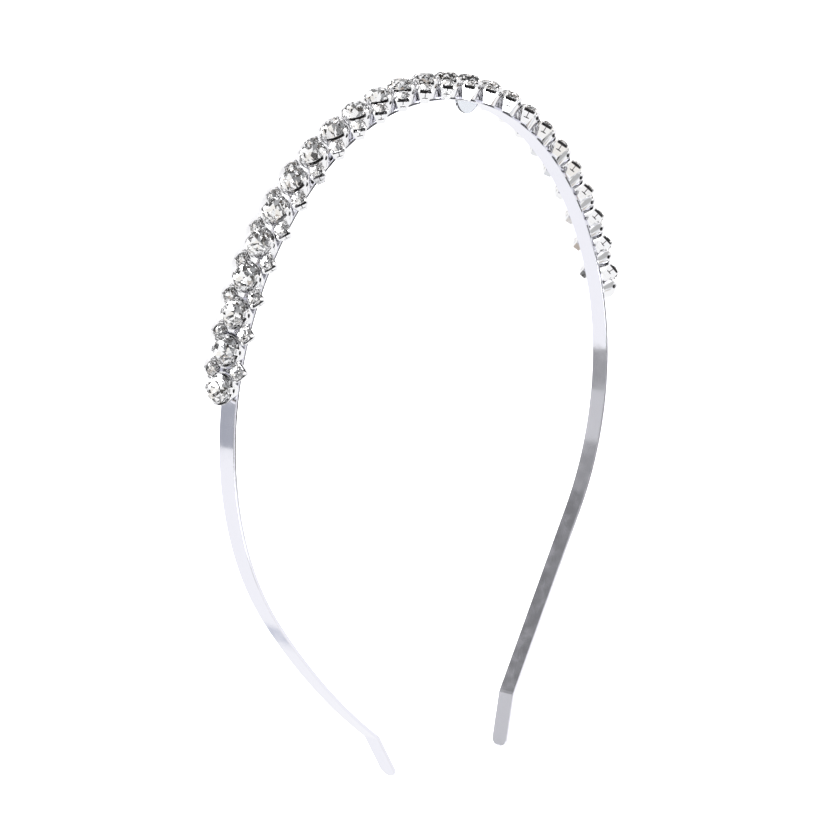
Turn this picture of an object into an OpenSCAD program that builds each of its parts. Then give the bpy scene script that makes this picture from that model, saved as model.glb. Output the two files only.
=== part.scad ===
// Crystal headband: a flat sprung metal strip bent to a head's arch, with round
// crystals in claw cups along the crown and a small crystal at each side between them.
// It lies on its side: X runs across the head, Y points to the crown, Z is the
// strip's width, and z = 0 is the surface that it lies on.

/* [Strip] */
// Width of the strip
strip_w = 4; // [3.8:0.1:4.2]
// Thickness of the strip
strip_t = 0.8; // [0.6:0.1:1]
// Outer radius of the arch over the crown
crown_r = 64; // [62:0.5:65.5]
// Length of each half of the crown's arc
crown_len = 44; // [42:1:46]
// Outer radius of the arch at the shoulder, between crown and temple
shoulder_r = 70.5; // [68:0.5:73]
// Length of the shoulder's arc
shoulder_len = 42; // [40:1:44]
// Outer radius beside the head, below the temple
side_r = 64.5; // [62:0.5:67]
// Length of the arc beside the head
side_len = 58; // [55:1:60]
// Length of each lower leg, down to the bend of its tip
leg_len = 46.6; // [44:0.2:49]
// Outer radius of the left lower leg, whose right-hand fellow is straight
left_leg_r = 180; // [170:5:220]
// Outward bend of each tip, in degrees
tip_bend = 20; // [15:1:25]
// Radius of the bend at each tip
tip_bend_r = 2.5; // [2:0.5:4]
// Length of each tip beyond its bend
tip_len = 12; // [10:0.5:14]

/* [Crystals] */
// Large crystals on each side of the one at the crown
pairs = 12; // [11:1:12]
// Distance along the strip from one large crystal to the next
pitch = 7.45; // [7.4:0.05:7.5]
// Distance of the middle large crystal from the crown, towards the right
row_shift = 0.3; // [0:0.1:0.6]
// Diameter of a large crystal at its girdle
large_d = 6; // [5.9:0.05:6.05]
// Diameter of a small crystal at its girdle
small_d = 3.3; // [3.2:0.05:3.35]
// Thickness of a crystal's girdle
girdle = 0.12; // [0.1:0.01:0.14]

/* [Claw cups] */
// Thickness of a cup's wall
wall = 0.25; // [0.24:0.01:0.27]
// Gap between a crystal and its cup
play = 0.1; // [0.1:0.01:0.11]
// Height of a large crystal's girdle above the strip
large_seat = 3.4; // [3.35:0.05:3.45]
// Height of a small crystal's girdle above the base of its cup
small_seat = 2.7; // [2.65:0.05:2.75]
// Distance from the strip's middle line to the base of a small cup
small_side = 2.9; // [2.85:0.05:2.95]
// Outward lean of the small cups, in degrees
small_lean = 10; // [8:1:12]
// Width of the gap between two claws of a large cup
large_gap = 3.7; // [3.6:0.05:3.75]
// Width of the gap between two claws of a small cup, over its crystal
small_gap = 2.1; // [2:0.05:2.1]

/* [Clear tab] */
// Radius of the clear tab's round edge
tab_r = 4.25; // [4:0.25:4.5]
// Depth of the clear tab below the strip
tab_drop = 2.7; // [2.5:0.1:3]
// Thickness of the clear tab
tab_t = 0.7; // [0.5:0.1:1]
// Distance of the clear tab from the crown, along the strip
tab_s = 13.3; // [12:0.1:15]

/* [Hidden] */
large_names = [for (i = [1:2 * pairs + 1]) str("large_stone_", i < 10 ? "0" : "", i)];
$fn = 48;
ARC_FN = 360;
FAR = 20;

metal = "silver";
crystal = "aliceblue";
clear_plastic = "lightcyan";

// The outer face runs from the crown down each side as a chain of tangent arcs, each
// a row of outer radius and length. Radius 0 is straight, and below 0 bends outward.
R = 0;
LEN = 1;
arch = [[crown_r, crown_len], [shoulder_r, shoulder_len], [side_r, side_len]];
bend = [-tip_bend_r, tip_bend_r * tip_bend * PI / 180];
// Radius of a tip's round end, and steps along an arc of the faces
end_r = strip_w / 2 + 0.1;
arc_step = 2.6;
bend_steps = 4;
tip = [bend, [0, tip_len]];
left_path = concat(arch, [[left_leg_r, leg_len]], tip);
right_path = concat(arch, [[0, leg_len]], tip);

// A place is [x, y, turn]: a point of the outer face and its slope below level, in
// degrees. The outward normal there is [sin(turn), cos(turn)].
X = 0;
Y = 1;
TURN = 2;
function xy(p) = [p[X], p[Y]];
function out(turn) = [sin(turn), cos(turn)];
function along(turn) = [cos(turn), -sin(turn)];
function turned(arc, s) = arc[R] == 0 ? 0 : s / arc[R] * 180 / PI;
function centre(p, arc) = xy(p) - arc[R] * out(p[TURN]);
function walk_xy(p, arc, s) = arc[R] == 0
    ? xy(p) + s * along(p[TURN])
    : centre(p, arc) + arc[R] * out(p[TURN] + turned(arc, s));
function walk(p, arc, s) = concat(walk_xy(p, arc, s), p[TURN] + turned(arc, s));
function start(path, i) = i == 0 ? [0, 0, 0] : walk(start(path, i - 1), path[i - 1], path[i - 1][LEN]);
function place(path, s, i = 0) = i < len(path) - 1 && s > path[i][LEN]
    ? place(path, s - path[i][LEN], i + 1)
    : walk(start(path, i), path[i], s);
function end_place(path) = start(path, len(path));

// Cut of a crystal, in parts of its girdle's radius: table and crown of a large and a
// small one, and the point of both
large_table = 0.62;
large_crown = 0.5;
small_table = 0.6;
small_crown = 0.42;
point_part = 0.83;
// Share of a main facet's length at which its neighbours part
facet_share = 0.5;
// Main facets around its crown, and as many below
MAINS = 8;
// Turn of each crystal in its cup from the one before it, in degrees
large_spin = 17;
small_spin = 11;

// Large cup: how far its foot is sunk into the strip, and radii and heights from there
large_sunk = 0.3;
large_foot_r = 2.1;
large_floor = 0.25;
large_flare_h = 2.7;
large_bore_r = large_d / 2 + play;
large_rim_r = large_bore_r + wall;
large_hole_d = 0.9;
large_hole_h = 2.5;
// Ledge that carries the large crystal: its depth below the girdle and its width
ledge_clear = 0.06;
ledge_w = 0.37;
// Claws of a large cup: depth of the gaps between them, reach over the crystal, rise
// above its girdle, and thickness at the claw's edge
large_gap_depth = 0.45;
large_reach = 0.15;
large_rise = 0.7;
large_edge = 0.15;
large_gap_h = large_seat - large_gap_depth;
large_shoulder_h = large_seat + girdle + ledge_clear;
large_lip_r = large_d / 2 - large_reach;
large_lip_h = large_seat + large_rise;
large_table_h = large_seat + girdle + large_crown * large_d / 2;

// Small cup: depth of its foot below its base, half widths and heights from there
small_sunk = 0.5;
small_foot = 0.8;
small_floor = 0.2;
small_half = 1.63;
small_flare_h = 2.25;
small_bore_r = small_d / 2 + play;
// Claws of a small cup, as above, with heights of their shoulder, inner and outer top
small_gap_depth = 0.7;
small_reach = 0.12;
small_shoulder = 0.2;
small_rise = 0.42;
small_top = 0.58;
small_bevel = 0.25;
// Width of the window between two claws below the crystal's edge
small_window = 2.5;
small_gap_h = small_seat - small_gap_depth;
small_shoulder_h = small_seat + small_shoulder;
small_lip_r = small_d / 2 - small_reach;
small_lip_h = small_seat + small_rise;
small_top_h = small_seat + small_top;
small_window_h = small_seat + girdle / 2;
// Slit in each outer side of a small cup, where its claws were folded up: a seam that
// widens to a slot at its bottom
seam_w = 0.16;
slot_w = 1.2;
slot_h = 0.22;
slot_bottom = 0.65;

// Extent of the whole headband, which sets its origin
lift_y = -(end_place(right_path)[Y] + place(right_path, row_shift)[Y] + large_table_h) / 2;
lift_z = small_side + small_half * sqrt(2) * cos(small_lean) + small_shoulder_h * sin(small_lean);

// Put children on the outer face at a distance s from the crown, to its left if s is
// below 0: X runs along the strip, Y across it, and Z stands outward
module on_strip(s) {
    p = place(right_path, abs(s));
    side = s < 0 ? -1 : 1;
    translate([side * p[X], p[Y], 0]) rotate([0, 0, -side * p[TURN]]) rotate([-90, 0, 0]) children();
}

// Lay the headband on its side with its middle over the origin
module laid() {
    translate([0, lift_y, lift_z]) children();
}

// Distance from the crown to a cup, counted in steps of the large ones
function row_s(i) = i * pitch + row_shift;

// Put children at the base of a small cup beside the strip, with Y pointing away from
// the strip: on the upper side or, if lower is true, the lower one
module at_small(i, lower) {
    on_strip(row_s(i + 0.5)) rotate([0, 0, lower ? 0 : 180])
        translate([0, small_side, 0]) rotate([-small_lean, 0, 0]) children();
}

// Places along one side of the outer face, from the crown to the end of its tip
function steps(arc) = arc[R] == 0 ? 1 : max(bend_steps, ceil(arc[LEN] / arc_step));
function side_places(path) = concat(
    [for (i = [0:len(path) - 1]) for (k = [0:steps(path[i]) - 1])
        walk(start(path, i), path[i], path[i][LEN] * k / steps(path[i]))],
    [end_place(path)]
);

// Points of one side's face, or of the face at a depth below it, and both sides' points
// from the left tip to the right one, with the crown's point once
function face(path, depth) = [for (p = side_places(path)) xy(p) - depth * out(p[TURN])];
function whole_face(depth) = concat(
    [for (q = reversed(face(left_path, depth))) [-q[X], q[Y]]],
    [for (q = face(right_path, depth)) if (q[X] > 0) q]
);
function reversed(list) = [for (i = [len(list) - 1:-1:0]) list[i]];

// What is cut off a tip to round its end
module tip_corners(path) {
    p = end_place(path);
    translate([p[X], p[Y], 0]) rotate([0, 0, -p[TURN]]) translate([-end_r, 0, 0]) difference() {
        translate([0, -FAR / 2, -FAR / 2]) cube(FAR);
        rotate([90, 0, 0]) cylinder(r = end_r, h = 2 * FAR, center = true);
    }
}

module strip() {
    difference() {
        linear_extrude(strip_w, center = true)
            polygon(concat(whole_face(0), reversed(whole_face(strip_t))));
        tip_corners(right_path);
        mirror([1, 0, 0]) tip_corners(left_path);
    }
}

// A round flared cup with four claws bent over the crystal's edge
module large_cup() {
    difference() {
        rotate_extrude() polygon([
            [0, -large_sunk], [large_foot_r, -large_sunk],
            [large_rim_r, large_flare_h], [large_rim_r, large_shoulder_h],
            [large_lip_r + wall, large_lip_h], [large_lip_r, large_lip_h],
            [large_lip_r, large_lip_h - large_edge], [large_bore_r, large_shoulder_h],
            [large_bore_r, large_seat - ledge_clear], [large_bore_r - ledge_w, large_seat - ledge_w],
            [large_foot_r - wall, large_floor], [0, large_floor]
        ]);
        for (a = [45, 135]) rotate([0, 0, a])
            translate([-large_gap / 2, -FAR / 2, large_gap_h]) cube([large_gap, FAR, FAR]);
        translate([0, 0, large_hole_h]) rotate([90, 0, 0])
            cylinder(d = large_hole_d, h = FAR, center = true);
    }
}

// A square form with the given half widths at given heights, corners on the axes
module square_form(rows) {
    n = len(rows);
    outline = concat(rows, [for (i = [1:n]) [-rows[n - i][0], rows[n - i][1]]]);
    rotate([0, 0, 45]) intersection_for (a = [0, 90]) rotate([90, 0, a])
        linear_extrude(FAR, center = true) polygon(outline);
}

// A square flared cup with a claw at each corner
module small_claws() {
    difference() {
        square_form([
            [small_foot, -small_sunk], [small_half, small_flare_h],
            [small_half, small_shoulder_h], [small_half - small_bevel, small_top_h]
        ]);
        square_form([
            [small_foot - wall / 2, small_floor], [small_half - wall, small_flare_h],
            [small_half - wall, small_seat - play]
        ]);
        translate([0, 0, small_seat - play]) cylinder(r = small_bore_r, h = small_lip_h - small_seat + play);
        translate([0, 0, small_seat]) cylinder(r = small_lip_r, h = FAR);
        for (a = [-45, 45]) rotate([0, 0, a]) {
            translate([-small_gap / 2, -FAR / 2, small_gap_h]) cube([small_gap, FAR, FAR]);
            translate([-small_window / 2, -FAR / 2, small_gap_h])
                cube([small_window, FAR, small_window_h - small_gap_h]);
        }
    }
}

// What is cut from a small cup's outer side, with its seam up to the gap of the claws
module slit() {
    half = [
        [slot_w / 2, slot_bottom], [slot_w / 2, slot_bottom + slot_h],
        [seam_w / 2, slot_bottom + slot_h], [seam_w / 2, small_gap_h + slot_h]
    ];
    rotate([90, 0, 180]) linear_extrude(FAR)
        polygon(concat(half, [for (q = reversed(half)) [-q[X], q[Y]]]));
}

// A small cup, slit in the two sides that face away from the strip
module small_cup() {
    difference() {
        small_claws();
        for (a = [-45, 45]) rotate([0, 0, a]) translate([0, small_foot - wall / 2, 0]) slit();
    }
}

// A round crystal with a table, 8 main facets above and below, 8 star facets and 16
// facets at each side of its girdle, whose lower edge is at z = 0
module stone(d, table_part, crown_part, spin) {
    r = d / 2;
    table_z = girdle + crown_part * r;
    point_z = -point_part * r;
    step = 180 / MAINS;
    inner_r = r * (table_part + facet_share * (1 - table_part)) / cos(step);
    inner_z = table_z + facet_share * (girdle - table_z);
    under_r = r * facet_share / cos(step);
    under_z = point_z * (1 - facet_share);
    function ring(radius, z, n, first) = [for (i = [0:n - 1])
        [radius * cos(first + i * 360 / n), radius * sin(first + i * 360 / n), z]];
    points = concat(
        ring(table_part * r, table_z, MAINS, 0), ring(inner_r, inner_z, MAINS, step),
        ring(r, girdle, 2 * MAINS, 0), ring(r, 0, 2 * MAINS, 0),
        ring(under_r, under_z, MAINS, step), [[0, 0, point_z]]
    );
    function table(i) = i % MAINS;
    function star(i) = MAINS + i % MAINS;
    function rim(i) = 2 * MAINS + i % (2 * MAINS);
    function low_rim(i) = 4 * MAINS + i % (2 * MAINS);
    function under(i) = 6 * MAINS + i % MAINS;
    tip_point = 7 * MAINS;
    mains = [0:MAINS - 1];
    faces = concat(
        [[for (i = mains) table(MAINS - 1 - i)]],
        [for (i = mains) [table(i), table(i + 1), star(i)]],
        [for (i = mains) [star(i), table(i + 1), star(i + 1), rim(2 * i + 2)]],
        [for (i = mains) [star(i), rim(2 * i + 1), rim(2 * i)]],
        [for (i = mains) [star(i), rim(2 * i + 2), rim(2 * i + 1)]],
        [for (i = [0:2 * MAINS - 1]) [rim(i), rim(i + 1), low_rim(i + 1), low_rim(i)]],
        [for (i = mains) [low_rim(2 * i), low_rim(2 * i + 1), under(i)]],
        [for (i = mains) [low_rim(2 * i + 1), low_rim(2 * i + 2), under(i)]],
        [for (i = mains) [low_rim(2 * i + 2), under(i + 1), tip_point, under(i)]]
    );
    rotate([0, 0, spin]) polyhedron(points, faces);
}

// The strip with every cup soldered to it
module band() {
    color(metal) laid() {
        strip();
        for (i = [-pairs:pairs]) on_strip(row_s(i)) large_cup();
        for (i = [-pairs:pairs - 1]) for (lower = [false, true]) at_small(i, lower) small_cup();
    }
}

module large_stone(i) {
    color(crystal) laid() on_strip(row_s(i)) translate([0, 0, large_seat])
        stone(large_d, large_table, large_crown, large_spin * i);
}

module small_stones(lower) {
    color(crystal) laid() for (i = [-pairs:pairs - 1])
        at_small(i, lower) translate([0, 0, small_seat])
            stone(small_d, small_table, small_crown, small_spin * i);
}

module small_stones_upper() {
    small_stones(false);
}

module small_stones_lower() {
    small_stones(true);
}

// A rounded tab of clear plastic against the strip's inner face, right of the crown
module clear_tab() {
    color(clear_plastic) laid() intersection() {
        on_strip(tab_s) translate([0, -strip_w / 2, tab_r - tab_drop - strip_t])
            rotate([-90, 0, 0]) cylinder(r = tab_r, h = tab_t, $fn = ARC_FN);
        translate([0, -crown_r, 0]) cylinder(r = crown_r - strip_t - play, h = strip_w, $fn = ARC_FN);
    }
}

band();
small_stones_upper();
small_stones_lower();
clear_tab();
for (i = [-pairs:pairs])
    large_stone(i);
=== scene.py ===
import math

import bmesh
import bpy
from bpy.props import FloatProperty, FloatVectorProperty, IntProperty, PointerProperty, StringProperty
from mathutils import Matrix, Vector


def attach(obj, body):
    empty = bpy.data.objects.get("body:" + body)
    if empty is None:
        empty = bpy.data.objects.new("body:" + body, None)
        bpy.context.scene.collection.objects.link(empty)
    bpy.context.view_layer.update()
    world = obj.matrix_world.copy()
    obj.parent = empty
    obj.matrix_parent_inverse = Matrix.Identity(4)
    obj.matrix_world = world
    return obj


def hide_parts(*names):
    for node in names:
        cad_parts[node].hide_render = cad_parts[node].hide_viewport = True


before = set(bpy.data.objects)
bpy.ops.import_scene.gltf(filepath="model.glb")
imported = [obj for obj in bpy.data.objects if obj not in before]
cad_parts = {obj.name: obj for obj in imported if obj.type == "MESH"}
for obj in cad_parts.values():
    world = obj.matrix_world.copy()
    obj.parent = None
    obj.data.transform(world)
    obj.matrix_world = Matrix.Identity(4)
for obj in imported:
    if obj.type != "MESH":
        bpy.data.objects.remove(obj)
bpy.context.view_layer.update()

bl_info = {
    "name": "Crystal Headband",
    "version": (1, 0, 0),
    "blender": (4, 5, 0),
    "location": "3D View > Sidebar > Headband",
    "description": "Builds the finished strip, claw cups and crystals of a headband around its packed solids",
    "category": "Add Mesh",
}

MM = 0.001

# The body that all pieces ride, and the nodes of the large crystals from left to right
BODY = "root"
LARGE_NODES = sorted(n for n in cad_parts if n.startswith("large_stone_"))

# Large crystals on each side of the middle one, and steps of the small ones
PAIRS = len(LARGE_NODES) // 2


class StripSizes(bpy.types.PropertyGroup):
    """The sprung strip: its section, and the arcs that its outer face follows down each side."""

    width: FloatProperty(
        name="Width", description="Width of the strip", default=4 * MM, unit="LENGTH")
    thickness: FloatProperty(
        name="Thickness", description="Thickness of the strip", default=0.8 * MM, unit="LENGTH")
    edge_r: FloatProperty(
        name="Edge", description="Radius of its rolled edges", default=0.12 * MM, unit="LENGTH")
    crown_r: FloatProperty(
        name="Crown radius", description="Radius over the crown", default=64 * MM, unit="LENGTH")
    crown_len: FloatProperty(
        name="Crown", description="Length of half the crown's arc", default=44 * MM, unit="LENGTH")
    shoulder_r: FloatProperty(
        name="Shoulder radius", description="Radius below the crown", default=70.5 * MM, unit="LENGTH")
    shoulder_len: FloatProperty(
        name="Shoulder", description="Length of the shoulder's arc", default=42 * MM, unit="LENGTH")
    side_r: FloatProperty(
        name="Side radius", description="Radius beside the head", default=64.5 * MM, unit="LENGTH")
    side_len: FloatProperty(
        name="Side", description="Length of the arc beside the head", default=58 * MM, unit="LENGTH")
    leg_len: FloatProperty(
        name="Leg", description="Length of each lower leg", default=46.6 * MM, unit="LENGTH")
    left_leg_r: FloatProperty(
        name="Left leg radius", description="Radius of the left leg", default=180 * MM, unit="LENGTH")
    tip_bend: FloatProperty(
        name="Tip bend", description="Outward bend of each tip", default=math.radians(20), subtype="ANGLE")
    tip_bend_r: FloatProperty(
        name="Bend radius", description="Radius of that bend", default=2.5 * MM, unit="LENGTH")
    tip_len: FloatProperty(
        name="Tip", description="Length of each tip", default=12 * MM, unit="LENGTH")
    end_r: FloatProperty(
        name="End radius", description="Radius of each rounded end", default=2.1 * MM, unit="LENGTH")


class CrystalSizes(bpy.types.PropertyGroup):
    """The cut crystals: diameters, spacing, and their cut in parts of the girdle's radius."""

    pitch: FloatProperty(
        name="Pitch", description="Distance between large crystals", default=7.45 * MM, unit="LENGTH")
    row_shift: FloatProperty(
        name="Row shift", description="Distance of the middle crystal from the crown",
        default=0.3 * MM, unit="LENGTH")
    large_d: FloatProperty(
        name="Large", description="Diameter of a large crystal", default=6 * MM, unit="LENGTH")
    small_d: FloatProperty(
        name="Small", description="Diameter of a small crystal", default=3.3 * MM, unit="LENGTH")
    girdle: FloatProperty(
        name="Girdle", description="Thickness of the girdle", default=0.12 * MM, unit="LENGTH")
    large_table: FloatProperty(
        name="Large table", description="Radius of a large table", default=0.62, subtype="FACTOR")
    large_crown: FloatProperty(
        name="Large crown", description="Height of a large crown", default=0.5, subtype="FACTOR")
    small_table: FloatProperty(
        name="Small table", description="Radius of a small table", default=0.6, subtype="FACTOR")
    small_crown: FloatProperty(
        name="Small crown", description="Height of a small crown", default=0.42, subtype="FACTOR")
    point: FloatProperty(
        name="Point", description="Depth of the point", default=0.83, subtype="FACTOR")
    split: FloatProperty(
        name="Split", description="Share of a main facet where its neighbours part",
        default=0.5, subtype="FACTOR")
    mains: IntProperty(
        name="Main facets", description="Main facets around the crown", default=8)
    large_spin: FloatProperty(
        name="Large spin", description="Turn from one to the next", default=math.radians(17), subtype="ANGLE")
    small_spin: FloatProperty(
        name="Small spin", description="Turn from one to the next", default=math.radians(11), subtype="ANGLE")
    lacquer: FloatProperty(
        name="Lacquer", description="Thickness of the lacquer behind the foil",
        default=0.03 * MM, unit="LENGTH")


class CupSizes(bpy.types.PropertyGroup):
    """The claw cups, pressed from sheet and soldered to the strip."""

    wall: FloatProperty(
        name="Wall", description="Thickness of the sheet", default=0.25 * MM, unit="LENGTH")
    play: FloatProperty(
        name="Play", description="Gap between a crystal and its cup", default=0.1 * MM, unit="LENGTH")
    large_gap: FloatProperty(
        name="Large gap", description="Gap between two claws of a large cup", default=3.7 * MM, unit="LENGTH")
    small_gap: FloatProperty(
        name="Small gap", description="Gap between two claws of a small cup", default=2.1 * MM, unit="LENGTH")
    small_window: FloatProperty(
        name="Small window", description="Width of that gap below the crystal",
        default=2.5 * MM, unit="LENGTH")
    large_seat: FloatProperty(
        name="Large seat", description="Height of a large girdle", default=3.4 * MM, unit="LENGTH")
    small_seat: FloatProperty(
        name="Small seat", description="Height of a small girdle", default=2.7 * MM, unit="LENGTH")
    small_side: FloatProperty(
        name="Small side", description="A small cup's place beside the middle line",
        default=2.9 * MM, unit="LENGTH")
    small_half: FloatProperty(
        name="Small half", description="Half the width of a small cup", default=1.63 * MM, unit="LENGTH")
    small_lean: FloatProperty(
        name="Small lean", description="Outward lean of the small cups",
        default=math.radians(10), subtype="ANGLE")
    hole_d: FloatProperty(
        name="Hole", description="Diameter of the hole in a large cup's sides",
        default=0.9 * MM, unit="LENGTH")
    hole_h: FloatProperty(
        name="Hole height", description="Height of that hole above the strip",
        default=2.5 * MM, unit="LENGTH")


class TabSizes(bpy.types.PropertyGroup):
    """The clear tab against the strip's inner face."""

    radius: FloatProperty(
        name="Radius", description="Radius of its round edge", default=4.25 * MM, unit="LENGTH")
    drop: FloatProperty(
        name="Drop", description="Depth below the strip", default=2.7 * MM, unit="LENGTH")
    thickness: FloatProperty(
        name="Thickness", description="Thickness of the sheet", default=0.7 * MM, unit="LENGTH")
    place: FloatProperty(
        name="Place", description="Distance from the crown along the strip", default=13.3 * MM, unit="LENGTH")


class Finishes(bpy.types.PropertyGroup):
    """The colours of the finishes, as sRGB hex values."""

    plating: StringProperty(
        name="Plating", description="Bright rhodium plating of the strip", default="#F0F0F8")
    cup_plating: StringProperty(
        name="Cup plating", description="The same on the cups", default="#F6F6F8")
    # Painted shade: a near-black that stands in for the shade inside the cups, their slits and their holes
    unplated: StringProperty(
        name="Inside shade", description="Inside of the cups, where plating stays thin", default="#242220")
    foil: StringProperty(
        name="Foil", description="Mirror foil under a crystal", default="#FCFCFD")
    # Real lacquer, in a near-black that also paints the shade under the girdle
    lacquer: StringProperty(
        name="Lacquer", description="Lacquer behind the foil", default="#1B1A1C")
    crystal: StringProperty(
        name="Crystal", description="Clear crystal glass", default="#FFFFFF")
    clear: StringProperty(
        name="Clear plastic", description="Clear tab", default="#F4F8FF")
    floor: StringProperty(
        name="Floor", description="Pale studio floor", default="#F4F4F5")


class StageSizes(bpy.types.PropertyGroup):
    """The camera, the floor, the room and the cards in it."""

    camera: FloatVectorProperty(
        name="Camera", description="Place of the camera",
        default=(-0.47563, 0.152605, 0.385669), unit="LENGTH")
    turn: FloatVectorProperty(
        name="Camera turn", description="Turn of the camera about X, Y and Z", subtype="EULER",
        default=(math.radians(-12.3945), math.radians(-51.4367), math.radians(-1.7429)))
    lens: FloatProperty(
        name="Lens", description="Focal length", default=121.665, unit="CAMERA")
    floor: FloatProperty(
        name="Floor", description="Side of the square floor", default=6.0, unit="LENGTH")
    world: FloatProperty(
        name="Room", description="Brightness of the room", default=1.0)
    cards: FloatProperty(
        name="Cards", description="Distance of the studio's cards", default=3.0, unit="LENGTH")


# Height of a small cup's claws above its girdle where they turn in, in millimetres
SMALL_SHOULDER = 0.2

# Edges sharper than this stay sharp in the shading
SHARP_ANGLE = math.radians(50)

# Values that a noise texture seldom leaves
NOISE_RANGE = (0.3, 0.7)

PROPERTIES = (
    ("headband_strip", StripSizes), ("headband_crystals", CrystalSizes), ("headband_cups", CupSizes),
    ("headband_tab", TabSizes), ("headband_finishes", Finishes), ("headband_stage", StageSizes),
)


# Colours and nodes

def linear(hex_colour):
    """An sRGB hex value as a linear colour with alpha."""
    parts = [int(hex_colour[i:i + 2], 16) / 255 for i in (1, 3, 5)]
    return [c / 12.92 if c <= 0.04045 else ((c + 0.055) / 1.055) ** 2.4 for c in parts] + [1.0]


def new_material(name, **settings):
    """A material with one Principled shader, whose sockets take the settings as they are."""
    material = bpy.data.materials.new(name)
    material.use_nodes = True
    shader = material.node_tree.nodes["Principled BSDF"]
    for socket, value in settings.items():
        shader.inputs[socket.replace("_", " ")].default_value = value
    return material, shader


def add(material, kind, links=(), **settings):
    """Adds a node with its settings, and its links as (its socket, the other socket)."""
    node = material.node_tree.nodes.new(kind)
    for key, value in settings.items():
        if hasattr(node, key):
            setattr(node, key, value)
        else:
            node.inputs[key.replace("_", " ")].default_value = value
    for mine, other in links:
        ends = (other, node.inputs[mine]) if other.is_output else (node.outputs[mine], other)
        material.node_tree.links.new(*ends)
    return node


def surface_place(material, mm):
    """Object coordinates scaled so that one unit of the pattern is that many millimetres."""
    place = add(material, "ShaderNodeTexCoord")
    scale = [1 / (mm * MM)] * 3
    return add(material, "ShaderNodeMapping", [("Vector", place.outputs["Object"])], Scale=scale)


def varied_roughness(material, shader, mm, low, high):
    """Roughness that wanders between two values over patches of a size in millimetres."""
    place = surface_place(material, mm)
    noise = add(material, "ShaderNodeTexNoise", [("Vector", place.outputs[0])], Scale=1.0, Detail=3.0)
    add(material, "ShaderNodeMapRange", [("Value", noise.outputs[0]), ("Result", shader.inputs["Roughness"])],
        From_Min=NOISE_RANGE[0], From_Max=NOISE_RANGE[1], To_Min=low, To_Max=high)


def rippled(material, shader, mm, strength, depth_mm):
    """Low bumps of a size in millimetres, as soft sheet has after plating."""
    place = surface_place(material, mm)
    noise = add(material, "ShaderNodeTexNoise", [("Vector", place.outputs[0])], Scale=1.0, Detail=2.0)
    add(material, "ShaderNodeBump", [("Height", noise.outputs[0]), ("Normal", shader.inputs["Normal"])],
        Strength=strength, Distance=depth_mm * MM)


def rhodium_plated_strip(finishes):
    """Rhodium over rolled spring steel: a cool bright mirror, barely dulled by the rolling."""
    material, shader = new_material(
        "rhodium_plated_spring_steel", Base_Color=linear(finishes.plating), Metallic=1.0, Roughness=0.1)
    varied_roughness(material, shader, mm=2.5, low=0.06, high=0.14)
    rippled(material, shader, mm=6.0, strength=0.25, depth_mm=0.02)
    return material


def rhodium_plated_cup(finishes):
    """Rhodium over pressed brass: as bright, with the soft waves of drawn sheet."""
    material, shader = new_material(
        "rhodium_plated_pressed_brass", Base_Color=linear(finishes.cup_plating), Metallic=1.0, Roughness=0.1)
    varied_roughness(material, shader, mm=0.8, low=0.06, high=0.16)
    rippled(material, shader, mm=0.7, strength=0.35, depth_mm=0.02)
    return material


def painted_shade_inside_cups(finishes):
    """Painted shade for the inside of a pressed cup, its slits and its holes: a dark, dull metal where the
    shade falls.
    """
    material, shader = new_material(
        "dulled_brass_inside", Base_Color=linear(finishes.unplated), Metallic=1.0, Roughness=0.45)
    varied_roughness(material, shader, mm=0.5, low=0.35, high=0.6)
    return material


def crystal_glass(finishes):
    """Machine-cut crystal glass: flat polished facets that bend light on the way in and out."""
    material, shader = new_material(
        "machine_cut_crystal_glass", Base_Color=linear(finishes.crystal), Roughness=0.0, IOR=1.58,
        Transmission_Weight=1.0)
    varied_roughness(material, shader, mm=1.2, low=0.0, high=0.02)
    return material


def mirror_foil(finishes):
    """Silver foil on the facets below the girdle: it throws the light back out of the crown."""
    material, shader = new_material(
        "silver_mirror_foil", Base_Color=linear(finishes.foil), Metallic=1.0, Roughness=0.03)
    varied_roughness(material, shader, mm=0.6, low=0.01, high=0.06)
    return material


def lacquer_and_painted_shade(finishes):
    """Sprayed lacquer that guards the foil, made nearly black so that it also paints the shade under the
    girdle.
    """
    material, shader = new_material(
        "sprayed_grey_lacquer", Base_Color=linear(finishes.lacquer), Roughness=0.5)
    varied_roughness(material, shader, mm=0.4, low=0.4, high=0.6)
    return material


def clear_plastic(finishes):
    """Clear moulded plastic: nearly invisible but for its polished rim."""
    material, shader = new_material(
        "clear_moulded_plastic", Base_Color=linear(finishes.clear), Roughness=0.05, IOR=1.46,
        Transmission_Weight=1.0)
    varied_roughness(material, shader, mm=2.0, low=0.02, high=0.1)
    return material


def matt_paper(finishes):
    """Matt backdrop paper on a light table: even and pale, with a fine tooth and hardly a shadow."""
    material, shader = new_material(
        "matt_backdrop_paper", Base_Color=linear(finishes.floor), Roughness=0.9,
        Emission_Color=linear(finishes.floor), Emission_Strength=0.45)
    varied_roughness(material, shader, mm=30.0, low=0.85, high=0.95)
    return material


# Places along the strip, in millimetres: x across, y towards the crown, and the outer
# face's slope below level

def sizes_of(name):
    """A property group's values, with lengths in millimetres."""
    group = getattr(bpy.context.scene, name)
    values = {}
    for key in group.__annotations__:
        value = getattr(group, key)
        unit = group.bl_rna.properties[key].unit
        values[key] = value / MM if unit == "LENGTH" and isinstance(value, float) else value
    return type(name, (), values)


def path_of(strip, left=False):
    """The outer face from the crown down one side, as rows of radius and length."""
    return (
        (strip.crown_r, strip.crown_len), (strip.shoulder_r, strip.shoulder_len),
        (strip.side_r, strip.side_len), (strip.left_leg_r if left else 0.0, strip.leg_len),
        (-strip.tip_bend_r, strip.tip_bend_r * strip.tip_bend), (0.0, strip.tip_len),
    )


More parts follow.
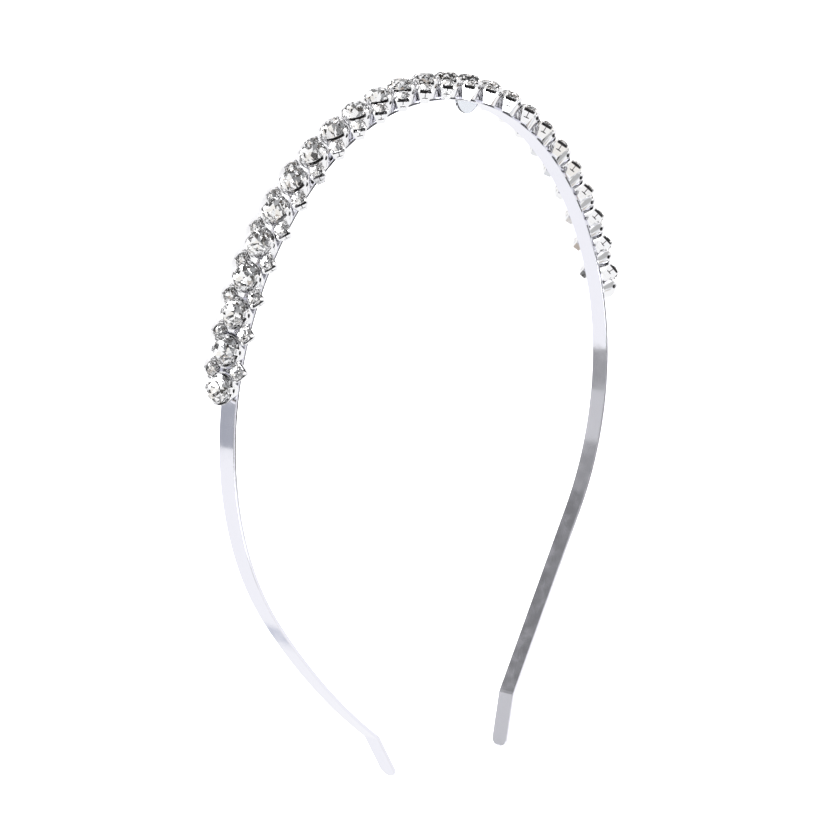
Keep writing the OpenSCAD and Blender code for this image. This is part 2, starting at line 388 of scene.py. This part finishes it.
def walk(place, radius, length):
    """The place a length further along an arc. Radius 0 is straight, and below 0 bends outward."""
    x, y, turn = place
    if radius == 0:
        return x + length * math.cos(turn), y - length * math.sin(turn), turn
    end = turn + length / radius
    return (x + radius * (math.sin(end) - math.sin(turn)), y + radius * (math.cos(end) - math.cos(turn)), end)


def place_at(path, s):
    """The place at a distance s from the crown."""
    place = (0.0, 0.0, 0.0)
    for radius, length in path:
        step = min(s, length)
        place = walk(place, radius, step)
        s -= step
        if s <= 0:
            break
    return place


def row_s(i):
    """Distance from the crown to a cup, counted in steps of the large ones."""
    crystals = sizes_of("headband_crystals")
    return i * crystals.pitch + crystals.row_shift


def laid():
    """The headband's own frame, at the crown's outer face and the middle of its width, as it lies."""
    strip, crystals, cups = (sizes_of("headband_" + part) for part in ("strip", "crystals", "cups"))
    path = path_of(strip)
    tip_y = place_at(path, sum(length for _, length in path))[1]
    top_y = place_at(path, crystals.row_shift)[1] + cups.large_seat + crystals.girdle
    top_y += crystals.large_crown * crystals.large_d / 2
    claw_h = cups.small_seat + SMALL_SHOULDER
    low_z = cups.small_side + cups.small_half * math.sqrt(2) * math.cos(cups.small_lean)
    low_z += claw_h * math.sin(cups.small_lean)
    return Matrix.Translation((0, -(tip_y + top_y) / 2, low_z))


def on_strip(s):
    """The frame on the outer face at s, to the left below 0: X along the strip, Z outward."""
    x, y, turn = place_at(path_of(sizes_of("headband_strip")), abs(s))
    side = -1 if s < 0 else 1
    return (laid() @ Matrix.Translation((side * x, y, 0)) @ Matrix.Rotation(-side * turn, 4, "Z")
            @ Matrix.Rotation(-math.pi / 2, 4, "X"))


def at_small(i, lower):
    """The frame at the base of a small cup, with Y away from the strip."""
    cups = sizes_of("headband_cups")
    return (on_strip(row_s(i + 0.5)) @ Matrix.Rotation(0 if lower else math.pi, 4, "Z")
            @ Matrix.Translation((0, cups.small_side, 0)) @ Matrix.Rotation(-cups.small_lean, 4, "X"))


# Meshes, built in millimetres and stamped into place in metres

def mesh_from(name, bm):
    """A new mesh with what the bmesh holds, which is spent."""
    mesh = bpy.data.meshes.new(name)
    bm.to_mesh(mesh)
    bm.free()
    return mesh


def linked(name, data):
    """A new object in the scene with that mesh, light or camera."""
    thing = bpy.data.objects.new(name, data)
    bpy.context.scene.collection.objects.link(thing)
    return thing


def coated(bm, material):
    """The same form with all its faces of one material."""
    for face in bm.faces:
        face.material_index = material
    return bm


def grid_faces(bm, rings, closed=True, material=0):
    """Quads between neighbouring rings of vertices."""
    for low, high in zip(rings, rings[1:]):
        count = len(low)
        for j in range(count if closed else count - 1):
            k = (j + 1) % count
            bm.faces.new((low[j], low[k], high[k], high[j])).material_index = material


def stamp(name, mesh, frames, materials, nodes, smooth=True):
    """Joins a copy of the mesh for each frame into one piece, which rides, and stands for nodes."""
    bm = bmesh.new()
    for place in frames:
        part = mesh.copy()
        part.transform(Matrix.Scale(MM, 4) @ place)
        bm.from_mesh(part)
        bpy.data.meshes.remove(part)
    bm.normal_update()
    for edge in bm.edges:
        if edge.calc_face_angle(0.0) > SHARP_ANGLE:
            edge.smooth = False
    joined = mesh_from(name, bm)
    for polygon in joined.polygons:
        polygon.use_smooth = smooth
    piece = linked(name, joined)
    for material in materials:
        joined.materials.append(material)
    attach(piece, BODY)
    if smooth:
        weigh = piece.modifiers.new("weigh", "WEIGHTED_NORMAL")
        weigh.mode = "FACE_AREA"
        weigh.weight = 100
        weigh.keep_sharp = True
    if nodes:
        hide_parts(*nodes)
    return piece


def worked(bm, tools=(), bevel=0.0, limit=math.radians(40)):
    """The mesh after cutting tools are taken from it, with its edges softened by a bevel."""
    bmesh.ops.recalc_face_normals(bm, faces=bm.faces)
    mesh = mesh_from("blank", bm)
    blank = linked("blank", mesh)
    # Two slots, so that faces a tool cuts keep its index: on the cups, index 1 is their painted shade
    for slot_name in ("outside", "inside"):
        mesh.materials.append(bpy.data.materials.get(slot_name) or bpy.data.materials.new(slot_name))
    cutters = []
    for tool in tools:
        bmesh.ops.recalc_face_normals(tool, faces=tool.faces)
        cutter_mesh = mesh_from("cutter", tool)
        for material in mesh.materials:
            cutter_mesh.materials.append(material)
        cutter = linked("cutter", cutter_mesh)
        cut = blank.modifiers.new("cut", "BOOLEAN")
        cut.operation = "DIFFERENCE"
        cut.solver = "EXACT"
        cut.object = cutter
        cutters.append(cutter)
    if bevel:
        soften = blank.modifiers.new("soften", "BEVEL")
        soften.width = bevel
        soften.segments = 2
        soften.limit_method = "ANGLE"
        soften.angle_limit = limit
    bpy.context.view_layer.update()
    shaped = bpy.data.meshes.new_from_object(blank.evaluated_get(bpy.context.evaluated_depsgraph_get()))
    for spent in [blank, *cutters]:
        spent_mesh = spent.data
        bpy.data.objects.remove(spent)
        bpy.data.meshes.remove(spent_mesh)
    shaped.materials.clear()
    return shaped


def box_tool(low, high, turn=0.0, material=0):
    """A block between two corners, turned about Z."""
    bm = bmesh.new()
    bmesh.ops.create_cube(bm, size=1)
    size, middle = Vector(high) - Vector(low), (Vector(high) + Vector(low)) / 2
    for v in bm.verts:
        v.co = Matrix.Rotation(turn, 3, "Z") @ (Vector(a * b for a, b in zip(v.co, size)) + middle)
    return coated(bm, material)


def rod_tool(radius, low, high, steps=32, along_y=False, material=0):
    """A round rod between two heights, or along Y at a height of 0."""
    bm = bmesh.new()
    bmesh.ops.create_cone(bm, cap_ends=True, segments=steps, radius1=radius, radius2=radius, depth=high - low)
    bmesh.ops.translate(bm, verts=bm.verts, vec=(0, 0, (low + high) / 2))
    if along_y:
        bmesh.ops.rotate(bm, verts=bm.verts, matrix=Matrix.Rotation(math.pi / 2, 3, "X"))
    return coated(bm, material)


def square_form(rows, material=0):
    """A square form with given half widths at given heights, its corners on the axes."""
    bm = bmesh.new()
    rings = []
    for half, height in rows:
        corner = half * math.sqrt(2)
        corners = ((corner, 0), (0, corner), (-corner, 0), (0, -corner))
        rings.append([bm.verts.new((x, y, height)) for x, y in corners])
    bm.faces.new(rings[0])
    bm.faces.new(rings[-1])
    grid_faces(bm, rings)
    return coated(bm, material)


def strip_mesh():
    """The strip as one sweep of its rolled section, from the left tip to the right one."""
    strip = sizes_of("headband_strip")
    # Distance between stations, faces round each edge, the stations round each end in degrees, and the
    # most that an edge may take of the half width where an end narrows
    station_step, corner_steps = 1.0, 3
    end_turns = range(0, 89, 8)
    largest_edge = 0.9
    section = []
    for cx, cz, first in ((1, 1, 0), (0, 1, 90), (0, -1, 180), (1, -1, 270)):
        for k in range(corner_steps + 1):
            a = math.radians(first + 90 * k / corner_steps)
            section.append((cx, cz, math.cos(a), math.sin(a)))
    stations = []
    for side in (-1, 1):
        path = path_of(strip, left=side < 0)
        total = sum(length for _, length in path)
        walked = 0.0
        marks = []
        for radius, length in path:
            count = max(4 if radius < 0 else 2, round(length / station_step))
            marks += [walked + length * k / count for k in range(count)]
            walked += length
        marks = [s for s in marks if s < total - strip.end_r]
        marks += [total - strip.end_r * (1 - math.sin(math.radians(a))) for a in end_turns]
        half = []
        for s in marks:
            into = max(0.0, s - (total - strip.end_r))
            wide = min(strip.width / 2, math.sqrt(max(0.0, strip.end_r ** 2 - into ** 2)))
            half.append((side, place_at(path, s), wide))
        stations += half[::-1] if side < 0 else half[1:]
    bm = bmesh.new()
    rings = []
    for side, (x, y, turn), wide in stations:
        out = Vector((side * math.sin(turn), math.cos(turn), 0))
        face_point = Vector((side * x, y, 0))
        r = min(strip.edge_r, wide * largest_edge)
        ring = []
        for cx, cz, outward, across in section:
            depth = -r * (1 - outward) if cx else -(strip.thickness - r) + r * outward
            height = cz * (wide - r) + r * across
            ring.append(bm.verts.new(face_point + out * depth + Vector((0, 0, height))))
        rings.append(ring)
    bm.faces.new(rings[0])
    bm.faces.new(rings[-1])
    grid_faces(bm, rings)
    return worked(bm)


def large_cup_mesh():
    """A flared round cup with four claws along and across the strip, and a hole in two sides."""
    cups, crystals = sizes_of("headband_cups"), sizes_of("headband_crystals")
    seat, wall = cups.large_seat, cups.wall
    bore = crystals.large_d / 2 + cups.play
    rim = bore + wall
    # The foot's radius, its depth in the strip, the floor's height, and where the flare ends
    foot, sunk, floor, flare_h = 2.1, 0.3, 0.25, 2.7
    # Depth of the gaps below the girdle, the claws' shoulder above it, and the wall kept under the hole
    gap_depth, shoulder_rise, hole_margin = 0.45, 0.06, 0.1
    # A claw's turn inward above its shoulder, and its lip over the crystal
    claw_in, claw_rise = 0.05, 0.2
    lip_reach, lip_rise, lip_depth = 0.15, 0.7, 0.15
    # Softened edges, and the tool of the hole
    edge_r, hole_reach, hole_steps = 0.05, 5, 24
    # Faces across a claw and a gap, and the first row of faces on a claw's inside, from which on it takes the
    # painted shade
    claw_steps, gap_steps, inside_from = 6, 6, 5
    gap_h, shoulder_h = seat - gap_depth, seat + crystals.girdle + shoulder_rise
    lip, lip_h = crystals.large_d / 2 - lip_reach, seat + lip_rise
    under_hole = cups.hole_h - cups.hole_d / 2 - hole_margin
    flare = foot + (rim - foot) * (under_hole + sunk) / (flare_h + sunk)
    outer = [(foot, -sunk), (flare, under_hole), (rim, flare_h), (rim, gap_h)]
    inner = [(bore, gap_h), (bore, flare_h), (foot - wall, floor)]
    claw = [(rim, shoulder_h), (rim - claw_in, shoulder_h + claw_rise), (lip + wall, lip_h), (lip, lip_h),
            (lip, lip_h - lip_depth), (bore, shoulder_h)]
    quarter_turn = math.pi / 2

    def spread(r):
        return math.asin(cups.large_gap / 2 / max(r, lip))

    def arc(bm, r, h, middle, half, steps):
        turns = [middle + half * (2 * k / steps - 1) for k in range(steps + 1)]
        return [bm.verts.new((r * math.cos(a), r * math.sin(a), h)) for a in turns]

    def ring(bm, r, h):
        half = math.pi / 4 - spread(rim)
        verts = []
        for quarter in range(4):
            middle = quarter * quarter_turn
            verts += arc(bm, r, h, middle, half, claw_steps)
            verts += arc(bm, r, h, middle + quarter_turn / 2, quarter_turn / 2 - half, gap_steps)[1:-1]
        return verts

    bm = bmesh.new()
    outside = [ring(bm, r, h) for r, h in outer]
    inside = [ring(bm, r, h) for r, h in inner]
    bm.faces.new(outside[0])
    grid_faces(bm, outside)
    # The inside and its floor take material 1, the painted shade inside the cup
    grid_faces(bm, inside, material=1)
    bm.faces.new(inside[-1]).material_index = 1
    per = claw_steps + gap_steps
    for quarter in range(4):
        first = quarter * per
        top, under = outside[-1], inside[0]
        for j in range(first + claw_steps, first + per):
            k = (j + 1) % (4 * per)
            bm.faces.new((top[j], top[k], under[k], under[j]))
        rows = [top[first:first + claw_steps + 1]]
        for r, h in claw:
            rows.append(arc(bm, r, h, quarter * quarter_turn, math.pi / 4 - spread(r), claw_steps))
        rows.append(under[first:first + claw_steps + 1])
        for index, pair in enumerate(zip(rows, rows[1:])):
            grid_faces(bm, pair, closed=False, material=1 if index >= inside_from else 0)
        for end in (0, claw_steps):
            bm.faces.new([row[end] for row in rows])
    blank = worked(bm, bevel=edge_r)
    holed = bmesh.new()
    holed.from_mesh(blank)
    bpy.data.meshes.remove(blank)
    # The hole's walls take the painted shade as well
    hole = rod_tool(cups.hole_d / 2, -hole_reach, hole_reach, hole_steps, along_y=True, material=1)
    bmesh.ops.translate(hole, verts=hole.verts, vec=(0, 0, cups.hole_h))
    return worked(holed, [hole])


def small_cup_mesh():
    """A flared square cup with a claw at each corner, slit in the two sides away from the strip."""
    cups, crystals = sizes_of("headband_cups"), sizes_of("headband_crystals")
    seat, wall, half = cups.small_seat, cups.wall, cups.small_half
    # Half the foot's width, its depth in the strip, the floor's height, and where the flare ends
    foot, sunk, floor, flare_h = 0.8, 0.5, 0.2, 2.25
    # Depth of the gaps below the girdle, and the claws' turn inward and top above it
    gap_depth, claw_in, claw_rise = 0.7, 0.25, 0.58
    # A claw's lip over the crystal: its reach and its underside
    lip_reach, lip_rise = 0.12, 0.42
    # The slit in the two sides away from the strip, and the slot across its lower end
    slit_half, slit_low = 0.08, 0.75
    slot_half, slot_low, slot_high = 0.6, 0.65, 0.87
    # Beyond the cup on every side, and softened edges
    far, edge_r = 8.0, 0.04
    gap_h, window_h = seat - gap_depth, seat + crystals.girdle / 2
    inside, inside_foot = half - wall, foot - wall / 2
    outer = square_form(
        [(foot, -sunk), (half, flare_h), (half, seat + SMALL_SHOULDER), (half - claw_in, seat + claw_rise)])
    # The inside, the slits and the slots leave walls of material 1, the painted shade in them
    tools = [
        square_form([(inside_foot, floor), (inside, flare_h), (inside, seat - cups.play)], material=1),
        rod_tool(crystals.small_d / 2 + cups.play, seat - cups.play, seat + lip_rise),
        rod_tool(crystals.small_d / 2 - lip_reach, seat, far),
    ]
    for turn in (-45, 45):
        a = math.radians(turn)
        for width, top in ((cups.small_gap, far), (cups.small_window, window_h)):
            tools.append(box_tool((-width / 2, -far, gap_h), (width / 2, far, top), a))
        for reach, low, high in ((slit_half, slit_low, far), (slot_half, slot_low, slot_high)):
            tools.append(box_tool((-reach, inside_foot, low), (reach, far, high), a, material=1))
    return worked(outer, tools, bevel=edge_r)


def crystal_mesh(d, table_part, crown_part, spin):
    """A round cut crystal: table, stars, mains and girdle facets of glass, foil below the girdle,
    and a closed skin of dark lacquer behind the foil, which also paints the shade under the girdle."""
    cut = sizes_of("headband_crystals")
    r, n, step = d / 2, cut.mains, math.pi / cut.mains
    table_z, point_z = cut.girdle + crown_part * r, -cut.point * r
    inner_r = r * (table_part + cut.split * (1 - table_part)) / math.cos(step)
    inner_z = table_z + cut.split * (cut.girdle - table_z)
    under_r, under_z = r * cut.split / math.cos(step), point_z * (1 - cut.split)
    bm = bmesh.new()

    def ring(radius, z, count, first=0.0):
        turns = [first + spin + 2 * math.pi * i / count for i in range(count)]
        return [bm.verts.new((radius * math.cos(a), radius * math.sin(a), z)) for a in turns]

    def pavilion(rim, under, tip, material):
        for i in range(n):
            a, b, c = 2 * i, 2 * i + 1, (2 * i + 2) % (2 * n)
            main = (rim[c], under[(i + 1) % n], tip, under[i])
            for face in ((rim[a], rim[b], under[i]), (rim[b], rim[c], under[i]), main):
                bm.faces.new(face).material_index = material

    table = ring(table_part * r, table_z, n)
    star = ring(inner_r, inner_z, n, step)
    rim = ring(r, cut.girdle, 2 * n)
    low_rim = ring(r, 0, 2 * n)
    bm.faces.new(table)
    for i in range(n):
        k = (i + 1) % n
        a, b, c = 2 * i, 2 * i + 1, (2 * i + 2) % (2 * n)
        bm.faces.new((table[i], table[k], star[i]))
        bm.faces.new((star[i], table[k], star[k], rim[c]))
        bm.faces.new((star[i], rim[b], rim[a]))
        bm.faces.new((star[i], rim[c], rim[b]))
        bm.faces.new((rim[a], rim[b], low_rim[b], low_rim[a]))
        bm.faces.new((rim[b], rim[c], low_rim[c], low_rim[b]))
    pavilion(low_rim, ring(under_r, under_z, n, step), bm.verts.new((0, 0, point_z)), 1)
    # The skin's two faces, which drop further from the foil below than at the rim
    skin, steeper = cut.lacquer, 1.3
    edges = []
    for drop in (skin / 3, skin * 4 / 3):
        edge = ring(r - skin + drop / 2, -drop - skin / 2, 2 * n)
        under = ring(under_r, under_z - drop * steeper, n, step)
        pavilion(edge, under, bm.verts.new((0, 0, point_z - drop * steeper)), 2)
        edges.append(edge)
    grid_faces(bm, edges, material=2)
    bmesh.ops.recalc_face_normals(bm, faces=bm.faces)
    return mesh_from("crystal", bm)


def tab_mesh():
    """A disc's lower part under the strip's curve, with a moulded edge."""
    tab, strip, cups = sizes_of("headband_tab"), sizes_of("headband_strip"), sizes_of("headband_cups")
    x, y, turn = place_at(path_of(strip), tab.place)
    out = Vector((math.sin(turn), math.cos(turn), 0))
    along = Vector((math.cos(turn), -math.sin(turn), 0))
    centre = Vector((x, y, 0)) - out * (strip.thickness + tab.drop - tab.radius)
    top_r = strip.crown_r - strip.thickness - cups.play
    arch_centre = Vector((0, -strip.crown_r, 0))
    # Faces round the whole disc and along its top, points closer than this become one, and the
    # moulded edge and the angle from which an edge gets it
    round_steps, top_steps = 64, 12
    merge, edge_r, edge_turn = 0.02, 0.12, math.radians(60)
    outline = []
    for k in range(round_steps):
        a = 2 * math.pi * k / round_steps
        point = centre + tab.radius * (math.cos(a) * along + math.sin(a) * out)
        if (point - arch_centre).length < top_r:
            outline.append(point)
    # The outline starts after the opening that the strip leaves, which is wider than any step
    widest_step = 1.5 * 2 * math.pi * tab.radius / round_steps
    start = next(i for i, p in enumerate(outline) if (outline[i - 1] - p).length > widest_step)
    outline = outline[start:] + outline[:start]
    first, last = outline[0] - arch_centre, outline[-1] - arch_centre
    a0, a1 = math.atan2(last.x, last.y), math.atan2(first.x, first.y)
    for k in range(top_steps + 1):
        a = a0 + (a1 - a0) * k / top_steps
        outline.append(arch_centre + top_r * Vector((math.sin(a), math.cos(a), 0)))
    low_z = strip.width / 2 - tab.thickness
    bm = bmesh.new()
    lower = [bm.verts.new(p + Vector((0, 0, low_z))) for p in outline]
    upper = [bm.verts.new(p + Vector((0, 0, strip.width / 2))) for p in outline]
    bm.faces.new(lower)
    bm.faces.new(upper)
    grid_faces(bm, [lower, upper])
    bmesh.ops.remove_doubles(bm, verts=bm.verts, dist=merge)
    return worked(bm, bevel=edge_r, limit=edge_turn)


# The stage

# Tints of cards and flags
NEUTRAL = (1.0, 1.0, 1.0)
BLUISH = (0.94, 0.97, 1.06)
CREAM = (1.0, 0.97, 0.92)
WARM = (1.0, 0.88, 0.78)
COOL = (0.95, 0.97, 1.0)

# Cards around the headband, which only reflections show: azimuth and elevation in degrees as seen
# from it, width and height in degrees, brightness and tint
CARDS = (
    (126, -33.5, 18, 8, 0.22, NEUTRAL),
    (146, -33.5, 22, 8, 0.32, NEUTRAL),
    (168, -33.5, 18, 8, 0.62, NEUTRAL),
    (187, -33.5, 14, 8, 0.36, NEUTRAL),
    (183, -42.0, 14, 8, 0.45, BLUISH),
    (-85.6, -41.0, 3, 8, 0.7, BLUISH),
    (-12.7, 38.0, 11.4, 9, 0.06, NEUTRAL),
    (120, 50, 80, 16, 0.93, CREAM),
    (0, 90, 36, 36, 0.5, NEUTRAL),
)

# Where no scattered flag stands, as azimuth and elevation from and to: what the strip, the cups'
# walls and the clear tab mirror or show
CLEAR_ZONES = (
    (-62, 10, -40, 70), (-125, -50, -12, 45), (-45, 15, -60, 0), (56, 130, 14, 70),
    (129, 180, 26, 70), (-180, -162, 30, 66), (-130, 90, -90, -45),
)

# Elevations of the ring that the strip's outer and inner faces mirror, which no flag's edge enters
CLEAR_RING = (-45, -31)

# Scattered flags: how many places are tried, the turn in degrees from one to the next, their distance
# in that of the cards, the sizes in degrees and brightness they take in turn, and which are warm
FLAG_PLACES = 190
FLAG_TURN = 137.508
FLAG_DISTANCE = 1.1
FLAG_SIZES = (14, 19, 11, 16, 21)
FLAG_GREYS = (0.04, 0.45, 0.12, 0.7, 0.07, 0.3, 0.55)
WARM_BELOW = 0.2

# Between two azimuths, how much nearer to white the flags are, or below 0 to black
SHADES = ((-180, -130, -0.5), (-130, -60, 0.5), (-60, 90, 0.8), (90, 125, 0.4), (125, 180, -0.5))

# Soft lights: name, place in metres, side in metres, watts, and whether reflections show it
LIGHTS = (
    ("overhead_softbox", (0.1, 0.1, 1.2), 1.0, 12, False),
    ("left_softbox", (-0.9, -0.7, 0.9), 0.7, 8, True),
    ("back_softbox", (0.8, 0.9, 0.8), 0.7, 6, True),
)

# The camera's sensor in millimetres, and the nearest and farthest that it sees in metres
SENSOR_WIDTH = 36.0
CLIP_START, CLIP_END = 0.01, 20


def card_object(name, distance, azimuth, elevation, width, height, brightness, tint):
    """A flat card that faces the headband from a direction, seen by reflections alone."""
    turn = Matrix.Rotation(math.radians(azimuth), 4, "Z") @ Matrix.Rotation(-math.radians(elevation), 4, "Y")
    half_w, half_h = (distance * math.tan(math.radians(a / 2)) for a in (width, height))
    bm = bmesh.new()
    corners = ((-half_w, -half_h), (half_w, -half_h), (half_w, half_h), (-half_w, half_h))
    bm.faces.new([bm.verts.new(turn @ Vector((distance, y, z))) for y, z in corners])
    mesh = mesh_from(name, bm)
    material = bpy.data.materials.new(name)
    material.use_nodes = True
    material.node_tree.nodes.clear()
    glow = add(material, "ShaderNodeEmission", Color=(*tint, 1), Strength=brightness)
    add(material, "ShaderNodeOutputMaterial", [("Surface", glow.outputs[0])])
    mesh.materials.append(material)
    card = linked(name, mesh)
    card.visible_camera = card.visible_diffuse = False
    return card


def studio_cards(distance):
    """The listed cards, and flags scattered over the rest of the room on a golden spiral."""
    cards = [card_object("card_%02d" % i, distance, *row) for i, row in enumerate(CARDS)]
    for k in range(FLAG_PLACES):
        elevation = math.degrees(math.asin(1 - 2 * (k + 0.5) / FLAG_PLACES))
        azimuth = (k * FLAG_TURN + 180) % 360 - 180
        if any(a0 < azimuth < a1 and e0 < elevation < e1 for a0, a1, e0, e1 in CLEAR_ZONES):
            continue
        size = FLAG_SIZES[k % len(FLAG_SIZES)]
        if CLEAR_RING[0] - size / 2 < elevation < CLEAR_RING[1] + size / 2:
            continue
        grey = FLAG_GREYS[k % len(FLAG_GREYS)]
        tint = WARM if grey < WARM_BELOW else COOL
        share = next(share for low, high, share in SHADES if low <= azimuth <= high)
        grey = grey + (1 - grey) * share if share > 0 else grey * (1 + share)
        place = (distance * FLAG_DISTANCE, azimuth, elevation)
        cards.append(card_object("flag_%02d" % k, *place, size, size, grey, tint))
    return cards


# Operators

class HEADBAND_OT_strip(bpy.types.Operator):
    """Sweep the sprung strip with its rolled edges and bent tips"""

    bl_idname = "headband.strip"
    bl_label = "Strip"

    def execute(self, context):
        material = rhodium_plated_strip(context.scene.headband_finishes)
        stamp("plated_strip", strip_mesh(), [laid()], [material], [])
        return {"FINISHED"}


class HEADBAND_OT_cups(bpy.types.Operator):
    """Press the large and small claw cups and solder them along the strip"""

    bl_idname = "headband.cups"
    bl_label = "Claw cups"

    def execute(self, context):
        finishes = context.scene.headband_finishes
        # The plating, and the dark metal that paints the shade inside the cups
        metals = [rhodium_plated_cup(finishes), painted_shade_inside_cups(finishes)]
        places = [on_strip(row_s(i)) for i in range(-PAIRS, PAIRS + 1)]
        stamp("large_claw_cups", large_cup_mesh(), places, metals, ["band"])
        cup = small_cup_mesh()
        for lower, name in ((False, "small_claw_cups_upper"), (True, "small_claw_cups_lower")):
            places = [at_small(i, lower) for i in range(-PAIRS, PAIRS)]
            stamp(name, cup, places, metals, [])
        return {"FINISHED"}


class HEADBAND_OT_crystals(bpy.types.Operator):
    """Cut the crystals, back them with foil and set them in their cups"""

    bl_idname = "headband.crystals"
    bl_label = "Crystals"

    def execute(self, context):
        finishes = context.scene.headband_finishes
        cut, cups = sizes_of("headband_crystals"), sizes_of("headband_cups")
        glass = [crystal_glass(finishes), mirror_foil(finishes), lacquer_and_painted_shade(finishes)]
        seat = Matrix.Translation((0, 0, cups.large_seat))
        for node, i in zip(LARGE_NODES, range(-PAIRS, PAIRS + 1)):
            mesh = crystal_mesh(cut.large_d, cut.large_table, cut.large_crown, cut.large_spin * i)
            place = on_strip(row_s(i)) @ seat
            stamp(node.replace("stone", "crystal"), mesh, [place], glass, [node], smooth=False)
        seat = Matrix.Translation((0, 0, cups.small_seat))
        mesh = crystal_mesh(cut.small_d, cut.small_table, cut.small_crown, 0)
        for lower, side in ((False, "upper"), (True, "lower")):
            places = [at_small(i, lower) @ seat @ Matrix.Rotation(cut.small_spin * i, 4, "Z")
                      for i in range(-PAIRS, PAIRS)]
            stamp("small_crystals_" + side, mesh, places, glass,
                  ["small_stones_" + side], smooth=False)
        return {"FINISHED"}


class HEADBAND_OT_tab(bpy.types.Operator):
    """Mould the clear tab against the strip's inner face"""

    bl_idname = "headband.tab"
    bl_label = "Clear tab"

    def execute(self, context):
        material = clear_plastic(context.scene.headband_finishes)
        stamp("clear_plastic_tab", tab_mesh(), [laid()], [material], ["clear_tab"])
        return {"FINISHED"}


class HEADBAND_OT_stage(bpy.types.Operator):
    """Set the floor, the soft lights and the camera"""

    bl_idname = "headband.stage"
    bl_label = "Stage"

    def execute(self, context):
        scene = context.scene
        stage = scene.headband_stage
        bm = bmesh.new()
        bmesh.ops.create_grid(bm, x_segments=2, y_segments=2, size=stage.floor / 2)
        mesh = mesh_from("backdrop_floor", bm)
        mesh.materials.append(matt_paper(scene.headband_finishes))
        floor = linked("backdrop_floor", mesh)
        floor.visible_glossy = floor.visible_transmission = floor.visible_shadow = False
        for card in studio_cards(stage.cards):
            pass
        for name, place, width, power, mirrored in LIGHTS:
            data = bpy.data.lights.new(name, "AREA")
            data.size, data.energy = width, power
            light = linked(name, data)
            light.location = place
            light.rotation_mode = "QUATERNION"
            light.rotation_quaternion = (-Vector(place)).to_track_quat("-Z", "Y")
            light.visible_glossy = mirrored
        world = bpy.data.worlds.new("soft_room")
        world.use_nodes = True
        background = world.node_tree.nodes["Background"]
        background.inputs["Color"].default_value = (*NEUTRAL, 1)
        background.inputs["Strength"].default_value = stage.world
        scene.world = world
        data = bpy.data.cameras.new("camera")
        data.type, data.lens, data.sensor_width = "PERSP", stage.lens, SENSOR_WIDTH
        data.clip_start, data.clip_end = CLIP_START, CLIP_END
        camera = linked("camera", data)
        camera.location = stage.camera
        camera.rotation_euler = stage.turn
        scene.camera = camera
        scene.view_settings.view_transform = "Standard"
        scene.view_settings.look = "None"
        return {"FINISHED"}


class HEADBAND_PT_panel(bpy.types.Panel):
    """The headband's operators and their sizes"""

    bl_idname = "HEADBAND_PT_panel"
    bl_label = "Crystal headband"
    bl_space_type = "VIEW_3D"
    bl_region_type = "UI"
    bl_category = "Headband"

    def draw(self, context):
        for operator in OPERATORS:
            self.layout.operator(operator.bl_idname)
        for name, group in PROPERTIES:
            column = self.layout.column(align=True)
            for key in group.__annotations__:
                column.prop(getattr(context.scene, name), key)


OPERATORS = (HEADBAND_OT_strip, HEADBAND_OT_cups, HEADBAND_OT_crystals, HEADBAND_OT_tab, HEADBAND_OT_stage)


def register():
    for name, group in PROPERTIES:
        bpy.utils.register_class(group)
        setattr(bpy.types.Scene, name, PointerProperty(type=group))
    for operator in (*OPERATORS, HEADBAND_PT_panel):
        bpy.utils.register_class(operator)


def unregister():
    for operator in reversed((*OPERATORS, HEADBAND_PT_panel)):
        bpy.utils.unregister_class(operator)
    for name, group in reversed(PROPERTIES):
        delattr(bpy.types.Scene, name)
        bpy.utils.unregister_class(group)


def main():
    register()
    bpy.ops.headband.strip()
    bpy.ops.headband.cups()
    bpy.ops.headband.crystals()
    bpy.ops.headband.tab()
    bpy.ops.headband.stage()
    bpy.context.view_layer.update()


if __name__ == "__main__":
    main()
